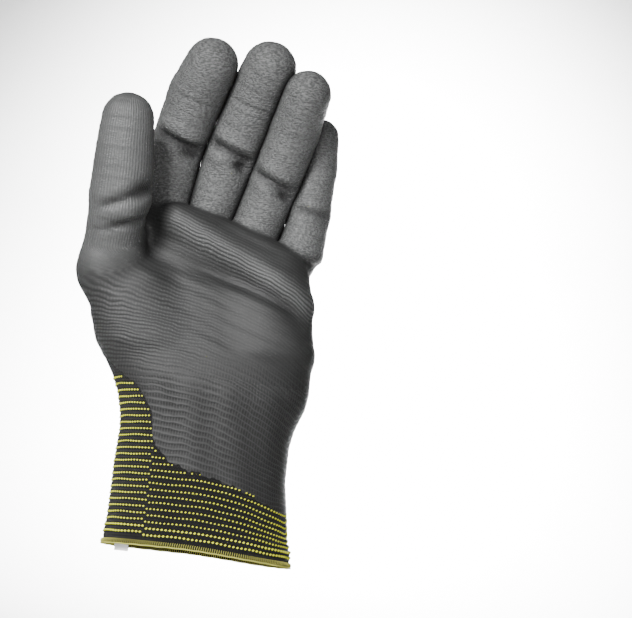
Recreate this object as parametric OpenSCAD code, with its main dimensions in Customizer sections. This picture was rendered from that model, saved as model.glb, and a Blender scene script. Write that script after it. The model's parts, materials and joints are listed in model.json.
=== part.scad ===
// A knitted cut-resistant glove for the left hand, worn size 9, lightly curled as on a hand.
// Units are millimetres. +Z runs from the cuff mouth to the fingertips, the palm faces -Y,
// the thumb is on the -X side, and the origin is the centre of the cuff mouth.
// Every finger is a chain of straight knitted tubes joined by short soft folds.

/* [Yarn and coating] */
// Thickness of the knitted liner
liner_t = 1.2; // [0.8:0.1:1.6]
// Thickness of the polyurethane coating over the palm side
coating_t = 0.4; // [0.2:0.1:0.6]
// Columns of facets round one finger
finger_cols = 16; // [16:8:24]

/* [Cuff] */
// Half width of the cuff at the hem
hem_half_w = 40.5; // [36:0.5:44]
// Half width of the cuff at its narrowest course
waist_half_w = 37.5; // [34:0.5:42]
// Half depth of the cuff at the hem
hem_half_d = 28; // [24:0.5:32]
// Half depth of the cuff at the wrist
wrist_half_d = 24; // [20:0.5:28]
// Height of the overlocked hem
hem_h = 3; // [2:0.5:4]
// Height of the wrist hinge above the hem
wrist_z = 80; // [76:1:84]
// Spacing of the dotted elastic courses
course_pitch = 2.5; // [2:0.1:3]

/* [Palm] */
// Half depth of the palm at the thumb joint
palm_half_d = 14.5; // [12:0.5:17]
// Middle of the palm's depth, measured from the cuff axis
palm_mid_y = 3; // [0:0.5:5]

/* [Fingers] */
// Half width of the index finger at its root
index_half_w = 9; // [8:0.1:10]
// Half width of the middle finger at its root
middle_half_w = 9.3; // [8:0.1:10]
// Half width of the ring finger at its root
ring_half_w = 8.9; // [8:0.1:10]
// Half width of the little finger at its root
little_half_w = 7.9; // [7:0.1:9]
// Half width of the thumb at its root
thumb_half_w = 12.6; // [11:0.1:14]

/* [Hidden] */

knit_black = [0.06, 0.06, 0.065];
coat_grey = [0.22, 0.22, 0.23];
fold_grey = [0.16, 0.16, 0.17];
elastic_yellow = [0.78, 0.76, 0.2];
label_white = [0.9, 0.9, 0.88];

gap = 0.4;               // room left at each fold so that neighbouring tubes never touch
seam = 0.06;             // room between a fold and the tube that turns above it
fold_reach = 5.5;        // how far a root fold reaches below its hinge, through the web deck
deck_t = 1.6;            // thickness of the webs between the fingers
hole_clearance = 0.15;   // room between a root fold and its hole in the web deck

// ---------------------------------------------------------------- digits
// Each digit: root hinge, sideways lean of each phalanx (degrees towards +X), rest curl of
// each phalanx from +Z towards the palm (degrees), phalanx lengths, half widths at each hinge,
// depth/width ratio, and the tilt of the flexion plane about Z.
LEAN = 1;
CURL = 2;
LEN = 3;
HALF_W = 4;
DEPTH = 5;
TURN = 6;
index = [[-30.5, 4, 155], [7, 18.5, 18.5], [15, 30, 42], [25, 24, 27],
         [index_half_w, index_half_w + 0.9, index_half_w + 0.6], 0.95, -2];
middle = [[-10.5, 4, 153.5], [14, 18, 18], [15, 30, 42], [26, 26, 28],
          [middle_half_w, middle_half_w + 1, middle_half_w + 0.8], 0.95, 0];
ring = [[9.9, 3.2, 146.8], [16, 16, 15], [15, 30, 42], [20.5, 26, 28],
        [ring_half_w, ring_half_w + 0.2, ring_half_w - 0.2], 0.98, 0];
little = [[30.6, 4, 136.5], [13, 8, 5], [3, 8, 16], [18, 21, 22.5],
          [little_half_w, little_half_w - 0.5, little_half_w - 1], 1, 12];
thumb = [[-54, -8, 118], [8.7, 0.7], [30, 15.8], [34.3, 44.2],
         [thumb_half_w, thumb_half_w], 0.85, 0];

// Largest curl and largest stretch that each kind of hinge allows, in degrees
ROOT_TRAVEL = [35, 8];
MIDDLE_TRAVEL = [40, 12];
TIP_TRAVEL = [24, 8];
THUMB_TRAVEL = [28, 18];
THUMB_AXIS = [0.52, 0.82, 0.23];   // the thumb turns about this line, to close across the palm

function unit(v) = v / norm(v);
// Direction of a phalanx that leans sideways and curls towards the palm
function phalanx_dir(lean, curl) =
    [sin(lean) * cos(curl), -sin(curl), cos(lean) * cos(curl)];
function hinge_point(d, k) = k == 0 ? d[0] : hinge_point(d, k - 1) + d[LEN][k - 1] * along(d, k - 1);
function along(d, k) = phalanx_dir(d[LEAN][k], d[CURL][k]);
// The side axis of a phalanx is its flexion axis; the back axis points away from the palm
function side_axis(d, k) = unit([cos(d[LEAN][k]) * cos(d[TURN]), sin(d[TURN]), -sin(d[LEAN][k])]);
function back_axis(d, k) = unit(cross(along(d, k), side_axis(d, k)));

function half_w(d, k, s) =
    let (w0 = d[HALF_W][k], w1 = k + 1 < len(d[HALF_W]) ? d[HALF_W][k + 1] : w0)
    w0 + (w1 - w0) * min(1, s / d[LEN][k]);

// A point on the wall of phalanx k: s along it, at angle a round it, t inside the outer face
function wall_point(d, k, s, a, t, shrink = 1) =
    let (w = half_w(d, k, s) * shrink - t, e = half_w(d, k, s) * d[DEPTH] * shrink - t)
    hinge_point(d, k) + along(d, k) * s + side_axis(d, k) * w * cos(a) + back_axis(d, k) * e * sin(a);

// How far the wall stands back from hinge k so that the next tube can turn by travel.
// The palm side needs room for the curl, the back for the stretch, and a flank for the lean.
function stand_back(d, k, a) =
    let (travel = travel_at(d, k), bend = bend_at(d, k), turn = lean_at(d, k),
         w = d[HALF_W][min(k, len(d[HALF_W]) - 1)], e = w * d[DEPTH] * sin(a))
    gap + max(0, w * cos(a) * tan(turn / 2)) + (d == thumb ? thumb_room(k, w * cos(a), e, bend)
        : e < 0 ? -e * tan((travel[0] + bend) / 2) : e * tan(max(0, (travel[1] - bend)) / 2));
// The thumb closes across the palm, about its own axis rather than its side axis. x and y are
// a wall point's places along the side and back axes.
function thumb_room(k, x, y, bend) =
    let (j = min(k, len(thumb[CURL]) - 1), closing = unit(cross(THUMB_AXIS, along(thumb, j))),
         lever = x * side_axis(thumb, j) * closing + y * back_axis(thumb, j) * closing)
    max(lever * tan(THUMB_TRAVEL[0] / 2), -lever * tan(THUMB_TRAVEL[1] / 2))
        + max(0, -y * tan(bend / 2));
function inner_hinge(d, k) = k > 0 && k < len(d[CURL]);
function lean_at(d, k) = inner_hinge(d, k) ? d[LEAN][k] - d[LEAN][k - 1] : 0;
function bend_at(d, k) = inner_hinge(d, k) ? d[CURL][k] - d[CURL][k - 1] : 0;
function travel_at(d, k) =
    d == thumb ? THUMB_TRAVEL : k == 0 ? ROOT_TRAVEL : k == 1 ? MIDDLE_TRAVEL : TIP_TRAVEL;
function start_s(d, k, a) = stand_back(d, k, a);
function end_s(d, k, a) = d[LEN][k] - stand_back(d, k + 1, a);

// ---------------------------------------------------------------- shells
// A thin solid between two grids of points. Rows run along the part and columns round it.
// closed joins the last column to the first; otherwise the two long edges get walls.
module shell(outer, inner, closed = true) {
    rows = len(outer);
    cols = len(outer[0]);
    steps = closed ? cols : cols - 1;
    off = rows * cols;
    function o(r, c) = r * cols + c % cols;
    function i(r, c) = off + r * cols + c % cols;
    polyhedron(
        points = concat([for (r = outer) each r], [for (r = inner) each r]),
        faces = concat(
            [for (r = [0:rows - 2], c = [0:steps - 1]) each
                [[o(r, c), o(r + 1, c), o(r + 1, c + 1)], [o(r, c), o(r + 1, c + 1), o(r, c + 1)],
                 [i(r, c), i(r + 1, c + 1), i(r + 1, c)], [i(r, c), i(r, c + 1), i(r + 1, c + 1)]]],
            [for (c = [0:steps - 1]) each
                [[o(0, c), o(0, c + 1), i(0, c + 1)], [o(0, c), i(0, c + 1), i(0, c)],
                 [o(rows - 1, c), i(rows - 1, c + 1), o(rows - 1, c + 1)],
                 [o(rows - 1, c), i(rows - 1, c), i(rows - 1, c + 1)]]],
            closed ? [] : [for (r = [0:rows - 2]) each
                [[o(r, 0), i(r, 0), i(r + 1, 0)], [o(r, 0), i(r + 1, 0), o(r + 1, 0)],
                 [o(r, cols - 1), i(r + 1, cols - 1), i(r, cols - 1)],
                 [o(r, cols - 1), o(r + 1, cols - 1), i(r + 1, cols - 1)]]]
        ));
}

// A thin shell closed by a dome: the last row of each grid is one pole point.
module capped_shell(outer, inner, outer_pole, inner_pole) {
    rows = len(outer);
    cols = len(outer[0]);
    off = rows * cols;
    pole = 2 * off;
    function o(r, c) = r * cols + c % cols;
    function i(r, c) = off + r * cols + c % cols;
    polyhedron(
        points = concat([for (r = outer) each r], [for (r = inner) each r], [outer_pole, inner_pole]),
        faces = concat(
            [for (r = [0:rows - 2], c = [0:cols - 1]) each
                [[o(r, c), o(r + 1, c), o(r + 1, c + 1)], [o(r, c), o(r + 1, c + 1), o(r, c + 1)],
                 [i(r, c), i(r + 1, c + 1), i(r + 1, c)], [i(r, c), i(r, c + 1), i(r + 1, c + 1)]]],
            [for (c = [0:cols - 1]) each
                [[o(0, c), o(0, c + 1), i(0, c + 1)], [o(0, c), i(0, c + 1), i(0, c)],
                 [o(rows - 1, c), pole, o(rows - 1, c + 1)],
                 [i(rows - 1, c), i(rows - 1, c + 1), pole + 1]]]
        ));
}

function round_angles(n) = [for (c = [0:n - 1]) -360 * c / n];
// The coated sector of a finger: the palm side and both flanks, and one facet more on to the back
coat_cols = finger_cols * 5 / 8;
coat_angles = [for (c = [0:coat_cols]) -90 - (c - coat_cols / 2) * 360 / finger_cols];

function tube_rows(d, k, angles, t, steps = 3) =
    [for (r = [0:steps]) [for (a = angles)
        wall_point(d, k, start_s(d, k, a) + (end_s(d, k, a) - start_s(d, k, a)) * r / steps, a, t)]];

dome_angles = [0, 25, 50, 72];   // steps over a fingertip, from its side to near its end
dome_length = 1.05;              // length of a fingertip's dome, in half widths

// A fingertip: a straight run and then a dome that closes on the axis
function tip_rows(d, k, angles, t) =
    let (r_tip = d[HALF_W][k] * dome_length, run = d[LEN][k] - r_tip)
    concat(
        [[for (a = angles) wall_point(d, k, start_s(d, k, a), a, t)]],
        [for (b = dome_angles) [for (a = angles)
            wall_point(d, k, run + (r_tip - t) * sin(b), a, t * cos(b), cos(b))]]);
function tip_pole(d, k, t) = hinge_point(d, k) + along(d, k) * (d[LEN][k] - t);

module finger_liner(d, k) {
    color(knit_black)
        shell(tube_rows(d, k, round_angles(finger_cols), coating_t),
              tube_rows(d, k, round_angles(finger_cols), coating_t + liner_t));
}

module fingertip_liner(d, k) {
    a = round_angles(finger_cols);
    color(knit_black)
        capped_shell(tip_rows(d, k, a, coating_t), tip_rows(d, k, a, coating_t + liner_t),
                     tip_pole(d, k, coating_t), tip_pole(d, k, coating_t + liner_t));
}

// The coating of a phalanx is a skin on the same facets as its liner
module finger_coating(d, k) {
    color(coat_grey)
        shell(tube_rows(d, k, coat_angles, 0), tube_rows(d, k, coat_angles, coating_t), closed = false);
}

// Fingertips are dipped all round
module fingertip_coating(d, k) {
    a = round_angles(finger_cols);
    color(coat_grey)
        capped_shell(tip_rows(d, k, a, 0), tip_rows(d, k, a, coating_t),
                     tip_pole(d, k, 0), tip_pole(d, k, coating_t));
}

// The soft fold between phalanx k - 1 and phalanx k
module finger_fold(d, k) {
    angles = round_angles(finger_cols);
    function rows(t) = [
        [for (a = angles) wall_point(d, k - 1, end_s(d, k - 1, a), a, t)],
        [for (a = angles) wall_point(d, k, start_s(d, k, a) - seam, a, t)]];
    color(fold_grey)
        shell(rows(0), rows(liner_t + coating_t));
}

// The fold at a digit's root starts below the web deck
module root_fold(d) {
    angles = round_angles(finger_cols);
    function rows(t) = [
        [for (a = angles) wall_point(d, 0, -fold_reach, a, t)],
        [for (a = angles) wall_point(d, 0, start_s(d, 0, a) - seam, a, t)]];
    color(fold_grey)
        shell(rows(0), rows(liner_t + coating_t));
}

// ---------------------------------------------------------------- palm and wrist
wrist_reach = 7.5;            // how far the wrist fold reaches above and below its hinge
palm_z0 = wrist_z + wrist_reach;
cuff_top = wrist_z - wrist_reach;
palm_cols = 20;               // facet columns over the front, and as many over the back
palm_rows = 8;
palm_power = 2.6;             // roundness of the palm's section

// The palm's top edge seen from the front: thumb mouth, thumb crotch, finger webs
RIM = [[-65.5, 110], [-62, 110.5], [-57, 112], [-52, 113.5], [-47, 115], [-43, 118], [-41, 126],
       [-40.2, 137], [-39.6, 146], [-37, 149.4], [-30, 149.6], [-21, 148.8], [-11, 147.6],
       [-1, 145], [9, 141.2], [19, 136.6], [25, 133.8], [30, 131], [35, 128], [38.5, 125.5]];

palm_base_left = -52.5;       // the palm tube's edges at its lower end
palm_base_right = 41.5;
palm_base_half_d = wrist_half_d - 3;
thinning = 40;                // height over which the palm thins from there to the thumb joint
leaning_back = 30;            // height over which its middle moves back from the cuff axis

function lerp(a, b, t) = a + (b - a) * t;
function ramp(t) = max(0, min(1, t));
function smooth(t) = let (u = ramp(t)) u * u * (3 - 2 * u);
// Left and right edges, half depth and middle of the palm tube by height
function palm_left(z) = lerp(palm_base_left, RIM[0][0], ramp((z - palm_z0) / (RIM[0][1] - palm_z0)));
function palm_right(z) =
    let (top = RIM[palm_cols - 1])
    lerp(palm_base_right, top[0], ramp((z - palm_z0) / (top[1] - palm_z0)));
function palm_depth(z) = lerp(palm_base_half_d, palm_half_d, smooth((z - palm_z0) / thinning));
function palm_mid(z) = lerp(0, palm_mid_y, smooth((z - palm_z0) / leaning_back));
function section_y(x, z) =
    let (m = (palm_left(z) + palm_right(z)) / 2, w = (palm_right(z) - palm_left(z)) / 2,
         u = min(1, abs(x - m) / w))
    palm_depth(z) * pow(1 - pow(u, palm_power), 1 / palm_power);

// Bottom edge positions, spread like equal angles so that the sides stay round
function base_x(i) = lerp(palm_left(palm_z0), palm_right(palm_z0), (1 - cos(180 * i / (palm_cols - 1))) / 2);

function palm_point(i, r, side, t) =
    let (f = r / palm_rows, top = RIM[i],
         x0 = lerp(base_x(i), top[0], f), z = lerp(palm_z0, top[1], f),
         m = (palm_left(z) + palm_right(z)) / 2, w = (palm_right(z) - palm_left(z)) / 2,
         k = (w - t) / w, x = m + (x0 - m) * k)
    [x, palm_mid(z) + side * section_y(x0, z) * (1 - t / palm_depth(z)), z];

function palm_row(r, t) = concat(
    [for (i = [0:palm_cols - 1]) palm_point(i, r, -1, t)],
    [for (i = [palm_cols - 2:-1:1]) palm_point(i, r, 1, t)]);

// The palm's side of the thumb mouth is cut back to let the thumb's tube turn
module palm_liner() {
    color(knit_black) difference() {
        shell([for (r = [palm_rows:-1:0]) palm_row(r, coating_t)],
              [for (r = [palm_rows:-1:0]) palm_row(r, coating_t + liner_t)]);
        thumb_mouth();
    }
}

module palm_coating() {
    function row(r, t) = [for (i = [0:palm_cols - 1]) palm_point(i, r, -1, t)];
    color(coat_grey) difference() {
        shell([for (r = [palm_rows:-1:0]) row(r, 0)],
              [for (r = [palm_rows:-1:0]) row(r, coating_t)], closed = false);
        thumb_mouth();
    }
}

// The deck that closes the palm's top edge, as a band following the rim from column a to b
module web_deck(a, b) {
    function edge(i, side, lift) =
        let (p = palm_point(i, palm_rows, side, 0), prev = RIM[max(a, i - 1)],
             next = RIM[min(b, i + 1)], d = unit([next[0] - prev[0], next[1] - prev[1]]))
        [p[0] - d[1] * lift, p[1], p[2] + d[0] * lift];
    shell([for (side = [-1, 1]) [for (i = [a:b]) edge(i, side, deck_t)]],
          [for (side = [-1, 1]) [for (i = [a:b]) edge(i, side, 0)]], closed = false);
}

// A solid stretch of a digit's root from low to high along it, which cuts the digit's hole
hole_low = -2.5 * fold_reach;
module root_hole(d, low = hole_low, high = fold_reach) {
    angles = round_angles(finger_cols);
    cols = finger_cols;
    function ring(s) = [for (a = angles) wall_point(d, 0, s, a, -hole_clearance)];
    polyhedron(
        points = concat(ring(low), ring(high),
                        [hinge_point(d, 0) + along(d, 0) * low, hinge_point(d, 0) + along(d, 0) * high]),
        faces = [for (c = [0:cols - 1]) let (n = (c + 1) % cols) each
            [[c, n, cols + n], [c, cols + n, cols + c],
             [2 * cols, n, c], [2 * cols + 1, cols + c, cols + n]]]);
}

// The room that a digit's tube takes at its root, at rest and as it turns through travel
turn_steps = 4;
module root_mouth(d, axis, travel, high) {
    root_hole(d, high = high);
    for (k = [0:turn_steps])
        translate(d[0]) rotate(lerp(-travel[1], travel[0], k / turn_steps), axis)
            translate(-d[0]) root_hole(d, low = 0, high = high);
}

finger_high = 16;        // how far up a finger its tube still passes near the web deck
thumb_high = 22;         // how far up the thumb its tube still passes near the palm
module thumb_mouth() {
    root_mouth(thumb, THUMB_AXIS, THUMB_TRAVEL, thumb_high);
}

crotch_split = 9;        // rim column where the thumb crotch ends and the finger webs start

module thumb_crotch() {
    color(fold_grey) difference() {
        web_deck(1, crotch_split);
        root_hole(thumb, high = thumb_high);
        root_hole(index);
    }
}

module finger_webs() {
    color(fold_grey) difference() {
        web_deck(crotch_split, palm_cols - 2);
        for (d = [index, middle, ring, little])
            root_mouth(d, side_axis(d, 0), ROOT_TRAVEL, finger_high);
    }
}

// ---------------------------------------------------------------- cuff
cuff_cols = 32;
cuff_power = 2.3;        // roundness of the cuff's section
waist_z = 50;            // height of the cuff's narrowest course
heel_flare = 6;          // how far each side widens again towards the hand
cuff_shift = -2;         // how far the wrist sits towards the thumb side
function cuff_half_w(z) =
    lerp(hem_half_w, waist_half_w, smooth(z / waist_z))
        + heel_flare * smooth((z - waist_z) / (wrist_z - waist_z));
function cuff_half_d(z) = lerp(hem_half_d, wrist_half_d, smooth(z / cuff_top));
function cuff_mid_x(z) = cuff_shift * smooth(z / waist_z);
function sup(c, p) = sign(c) * pow(abs(c), 2 / p);
function cuff_point(a, z, t) =
    [cuff_mid_x(z) + (cuff_half_w(z) - t) * sup(cos(a), cuff_power),
     (cuff_half_d(z) - t) * sup(sin(a), cuff_power), z];
cuff_angles = [for (c = [0:cuff_cols - 1]) 360 * c / cuff_cols];

cuff_rows = 6;
function cuff_grid(z0, z1, t, rows = cuff_rows) =
    [for (k = [rows:-1:0]) [for (a = cuff_angles) cuff_point(-a, lerp(z0, z1, k / rows), t)]];

module cuff_rib() {
    color(knit_black)
        shell(cuff_grid(hem_h, cuff_top, coating_t), cuff_grid(hem_h, cuff_top, coating_t + liner_t));
}

// The rolled and oversewn edge of the cuff
hem_proud = 0.2;         // how far it stands outside the cuff's face
hem_under = 0.4;         // and inside its back
module hem_overlock() {
    color(elastic_yellow)
        shell(cuff_grid(0, hem_h, -hem_proud, 2),
              cuff_grid(0, hem_h, coating_t + liner_t + hem_under, 2));
}

// Dotted elastic courses, knitted into the face of the rib
inlay_cols = 24;
inlay_r = 0.35;
inlay_first_z = 5;
inlay_count = floor((cuff_top - inlay_first_z - 1) / course_pitch) + 1;
module elastic_course(z) {
    angles = [for (c = [0:inlay_cols - 1]) -360 * c / inlay_cols];
    function p(a, dt, dz) = cuff_point(a, z + dz, coating_t + inlay_r + dt);
    polyhedron(
        points = concat([for (a = angles) p(a, -inlay_r, 0)],
                        [for (a = angles) p(a, inlay_r, inlay_r)],
                        [for (a = angles) p(a, inlay_r, -inlay_r)]),
        faces = [for (s = [0:2], c = [0:inlay_cols - 1])
            let (n = (c + 1) % inlay_cols, u = s * inlay_cols, v = (s + 1) % 3 * inlay_cols)
            each [[u + c, v + n, v + c], [u + c, u + n, v + n]]]);
}
module elastic_inlay() {
    color(elastic_yellow)
        for (k = [0:inlay_count - 1]) elastic_course(inlay_first_z + k * course_pitch);
}

// The dip runs down over the palm side of the cuff and round its outer side. Its lower edge,
// as [x, z], climbs steeply towards the thumb.
COAT_EDGE = [[36, 21], [20, 27], [8, 30], [-8, 33], [-15, 36], [-19.5, 40], [-23, 45], [-24, 55],
             [-27, 60], [-30, 65], [-35, 69], [-41, 73]];
coat_cuff_cols = 18;     // facet columns that the dip covers before its edge is cut
coat_back_cols = 2;      // and those of them that lie on the back of the hand, at its outer side
clear = 60;              // past every side of the cuff
module wrist_coating() {
    angles = [for (c = [0:coat_cuff_cols]) (c - coat_back_cols) * -360 / cuff_cols];
    function rows(t) = [for (k = [cuff_rows:-1:0]) [for (a = angles)
        cuff_point(a, lerp(hem_h, cuff_top, k / cuff_rows), t)]];
    color(coat_grey) difference() {
        shell(rows(-seam), rows(coating_t - seam), closed = false);
        rotate([90, 0, 0]) linear_extrude(2 * clear, center = true)
            polygon(concat([[-clear, 0], [clear, 0], [clear, COAT_EDGE[0][1]]], COAT_EDGE,
                           [[-clear, cuff_top + 1]]));
    }
}

// The soft gather between the cuff and the palm, on the palm's own columns
module wrist_fold() {
    function low(t) = concat(
        [for (i = [0:palm_cols - 1]) cuff_point(180 + 180 * i / (palm_cols - 1), cuff_top, t)],
        [for (i = [palm_cols - 2:-1:1]) cuff_point(180 - 180 * i / (palm_cols - 1), cuff_top, t)]);
    wall = liner_t + coating_t;
    color(fold_grey)
        shell([palm_row(0, 0), low(0)], [palm_row(0, wall), low(wall)]);
}

// A blank woven tab sewn inside the hem on the thumb side
label_cols = [225, 213.75];    // its two edges, as angles round the cuff
label_z = [12, hem_h, 0.3];    // the heights of its rows, down to just inside the hem's edge
label_t = 0.3;
label_inset = coating_t + liner_t + hem_under + 0.1;
module size_label() {
    function rows(t) = [for (z = label_z) [for (a = label_cols) cuff_point(a, z, t)]];
    color(label_white)
        shell(rows(label_inset), rows(label_inset + label_t), closed = false);
}

cuff_rib();
hem_overlock();
size_label();
elastic_inlay();
wrist_coating();
wrist_fold();
palm_liner();
palm_coating();
thumb_crotch();
finger_webs();
root_fold(thumb);  // thumb_root_fold
finger_liner(thumb, 0);  // thumb_liner_proximal
finger_coating(thumb, 0);  // thumb_coating_proximal
finger_fold(thumb, 1);  // thumb_tip_fold
fingertip_liner(thumb, 1);  // thumb_liner_distal
fingertip_coating(thumb, 1);  // thumb_coating_distal
root_fold(index);  // index_root_fold
finger_liner(index, 0);  // index_liner_proximal
finger_coating(index, 0);  // index_coating_proximal
finger_fold(index, 1);  // index_middle_fold
finger_liner(index, 1);  // index_liner_middle
finger_coating(index, 1);  // index_coating_middle
finger_fold(index, 2);  // index_tip_fold
fingertip_liner(index, 2);  // index_liner_distal
fingertip_coating(index, 2);  // index_coating_distal
root_fold(middle);  // middle_root_fold
finger_liner(middle, 0);  // middle_liner_proximal
finger_coating(middle, 0);  // middle_coating_proximal
finger_fold(middle, 1);  // middle_middle_fold
finger_liner(middle, 1);  // middle_liner_middle
finger_coating(middle, 1);  // middle_coating_middle
finger_fold(middle, 2);  // middle_tip_fold
fingertip_liner(middle, 2);  // middle_liner_distal
fingertip_coating(middle, 2);  // middle_coating_distal
root_fold(ring);  // ring_root_fold
finger_liner(ring, 0);  // ring_liner_proximal
finger_coating(ring, 0);  // ring_coating_proximal
finger_fold(ring, 1);  // ring_middle_fold
finger_liner(ring, 1);  // ring_liner_middle
finger_coating(ring, 1);  // ring_coating_middle
finger_fold(ring, 2);  // ring_tip_fold
fingertip_liner(ring, 2);  // ring_liner_distal
fingertip_coating(ring, 2);  // ring_coating_distal
root_fold(little);  // little_root_fold
finger_liner(little, 0);  // little_liner_proximal
finger_coating(little, 0);  // little_coating_proximal
finger_fold(little, 1);  // little_middle_fold
finger_liner(little, 1);  // little_liner_middle
finger_coating(little, 1);  // little_coating_middle
finger_fold(little, 2);  // little_tip_fold
fingertip_liner(little, 2);  // little_liner_distal
fingertip_coating(little, 2);  // little_coating_distal
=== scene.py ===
import json
import math

import bpy
import numpy as np
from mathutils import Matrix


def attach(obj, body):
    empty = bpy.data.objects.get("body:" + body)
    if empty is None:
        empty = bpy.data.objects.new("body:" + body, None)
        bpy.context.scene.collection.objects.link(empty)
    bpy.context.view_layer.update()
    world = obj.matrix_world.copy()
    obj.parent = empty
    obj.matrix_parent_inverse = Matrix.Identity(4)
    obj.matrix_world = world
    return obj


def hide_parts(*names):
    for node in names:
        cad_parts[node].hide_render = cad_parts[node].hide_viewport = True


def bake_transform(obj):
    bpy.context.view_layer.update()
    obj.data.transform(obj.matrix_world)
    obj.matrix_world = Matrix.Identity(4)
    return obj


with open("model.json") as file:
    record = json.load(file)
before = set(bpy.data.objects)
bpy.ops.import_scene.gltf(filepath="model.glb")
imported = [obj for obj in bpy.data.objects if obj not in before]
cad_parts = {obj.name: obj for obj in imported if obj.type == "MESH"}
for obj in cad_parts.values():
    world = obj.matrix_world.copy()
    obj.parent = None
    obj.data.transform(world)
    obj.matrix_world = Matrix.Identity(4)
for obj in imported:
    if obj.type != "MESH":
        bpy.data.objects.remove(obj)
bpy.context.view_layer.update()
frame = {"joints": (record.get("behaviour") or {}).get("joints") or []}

import openvdb
from mathutils import Matrix, Vector

# A knitted, coated cut-resistant glove for the left hand. Lengths are millimetres up to the
# moment a mesh is made; MM turns them into metres. Palm towards -Y, fingers towards +Z.
MM = 0.001
VOXEL = 0.8
JOINTS = {j["name"]: j for j in frame["joints"]}
FINGERS = ("index", "middle", "ring", "little")
DIGITS = FINGERS + ("thumb",)


# ------------------------------------------------------------------ small maths
def unit(v):
    v = np.asarray(v, float)
    return v / np.linalg.norm(v)


def smooth(t):
    t = np.clip(t, 0.0, 1.0)
    return t * t * (3 - 2 * t)


def smin(a, b, k):
    """Smooth union of two distances; k is the width of the fillet."""
    h = np.clip(0.5 + 0.5 * (b - a) / k, 0, 1)
    return b + (a - b) * h - k * h * (1 - h)


def smax(a, b, k):
    return -smin(-a, -b, k)


def ripple(s, a, seed, wave):
    """Soft irregular folds that run round a tube: s along it, a the angle round it."""
    rng = np.random.default_rng(seed)
    total = 0
    for stretch in (1.0, 0.62, 1.7):
        phase, tilt, turn = rng.uniform(0, 2 * math.pi, 3)
        total = total + np.sin(2 * math.pi * s / (wave * stretch) + phase + 1.1 * np.sin(a + tilt)
                               + 0.6 * np.sin(2 * a + turn))
    return total / 3


# ------------------------------------------------------------------ skeleton
def hinge(name):
    return np.array(JOINTS[name]["pos_m"]) / MM


def hinge_axis(name):
    return unit(JOINTS[name]["axis"])


# Last phalanx of each digit: lean towards +X, curl towards the palm, length to the fingertip
TIP_AIM = {
    "index": (19, 42, 27.5),
    "middle": (18, 42, 27.5),
    "ring": (16, 42, 28.5),
    "little": (1, 16, 22.5),
    "thumb": (0, 15.8, 44.5),
}
# How far the cloth's centre line stands towards +X of each hinge and of the fingertip
SHIFT = {
    "index": (0.0, -0.8, -0.9, 2.4),
    "middle": (0.4, 0.8, 1.5, 4.2),
    "ring": (0.8, 1.0, 1.4, 1.8),
    "little": (0.0, -1.8, -3.2, -3.8),
    "thumb": (1.5, 1.0, 1.2),
}
# Half widths along each phalanx: its start, its middle and its end
WIDTHS = {
    "index": ((10.8, 11.1, 11.6), (12.0, 12.6, 12.5), (12.5, 11.9, 9.9)),
    "middle": ((11.3, 11.7, 12.1), (12.2, 12.4, 12.1), (12.0, 11.9, 10.2)),
    "ring": ((11.4, 11.4, 11.2), (11.2, 11.3, 10.9), (10.8, 10.6, 9.4)),
    "little": ((10.6, 10.0, 9.5), (9.4, 9.2, 8.8), (8.6, 8.6, 7.5)),
    "thumb": ((11.8, 12.2, 13.0), (13.4, 12.4, 9.9)),
}
DEPTH = {"index": 0.92, "middle": 0.92, "ring": 0.95, "little": 0.98, "thumb": 0.86}
FINGER_GAP = 0.03                # room between the cloth of neighbouring fingers
FINGER_FILLET = 4.0              # how softly a finger runs into the palm
THUMB_FILLET = 9.0               # and the thumb
PHALANX_FILLET = 2.0             # and one phalanx into the next


def aim(lean, curl):
    lean, curl = math.radians(lean), math.radians(curl)
    return np.array([math.sin(lean) * math.cos(curl), -math.sin(curl),
                     math.cos(lean) * math.cos(curl)])


class Bone:
    """One phalanx: where it starts, its axes, its length and how wide it is."""

    def __init__(self, start, end, side, widths, depth):
        self.start = start
        self.length = float(np.linalg.norm(end - start))
        self.along = unit(end - start)
        self.side = unit(side - self.along * (side @ self.along))
        self.back = np.cross(self.along, self.side)
        self.widths, self.depth = widths, depth

    def half_width(self, s):
        t = np.clip(s / self.length, 0, 1)
        a, m, b = self.widths
        return a * (1 - t) * (1 - 2 * t) + 4 * m * t * (1 - t) + b * t * (2 * t - 1)

    def local(self, p):
        q = p - self.start
        return q @ self.side, q @ self.back, q @ self.along

    def distance(self, p, tip):
        x, y, s = self.local(p)
        r = self.half_width(s)
        end = self.length - (self.widths[2] if tip else 0)
        over = np.where(s < 0, s, np.where(s > end, s - end, 0.0))
        return np.sqrt(x * x + (y / self.depth) ** 2 + over * over) - r


def make_bones(digit):
    names = ["root", "middle", "tip"] if digit != "thumb" else ["root", "tip"]
    points = [hinge(f"{digit}_{n}_bend") for n in names]
    lean, curl, length = TIP_AIM[digit]
    points.append(points[-1] + aim(lean, curl) * length)
    points = [p + np.array([dx, 0, 0]) for p, dx in zip(points, SHIFT[digit])]
    sides = [np.array([1.0, 0, 0]) if digit == "thumb" else hinge_axis(f"{digit}_{n}_bend")
             for n in names]
    return [Bone(points[k], points[k + 1], sides[k], WIDTHS[digit][k], DEPTH[digit])
            for k in range(len(names))]


BONES = {digit: make_bones(digit) for digit in DIGITS}
CHAIN_LENGTH = {digit: sum(b.length for b in BONES[digit]) for digit in DIGITS}


def chain_place(digit, p):
    """Length along the digit from its root, angle round it (0 = palm side) and radius."""
    place, base = None, 0.0
    for k, bone in enumerate(BONES[digit]):
        x, y, s = bone.local(p)
        here = np.stack([base + s, x, y])
        if place is None:
            place = here
        else:
            bend = unit(BONES[digit][k - 1].along + bone.along)
            w = smooth(0.5 + ((p - bone.start) @ bend) / 16.0)
            place = place * (1 - w) + here * w
        base += bone.length
    s, x, y = place
    return s, np.arctan2(x, -y), np.hypot(x, y)


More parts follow.
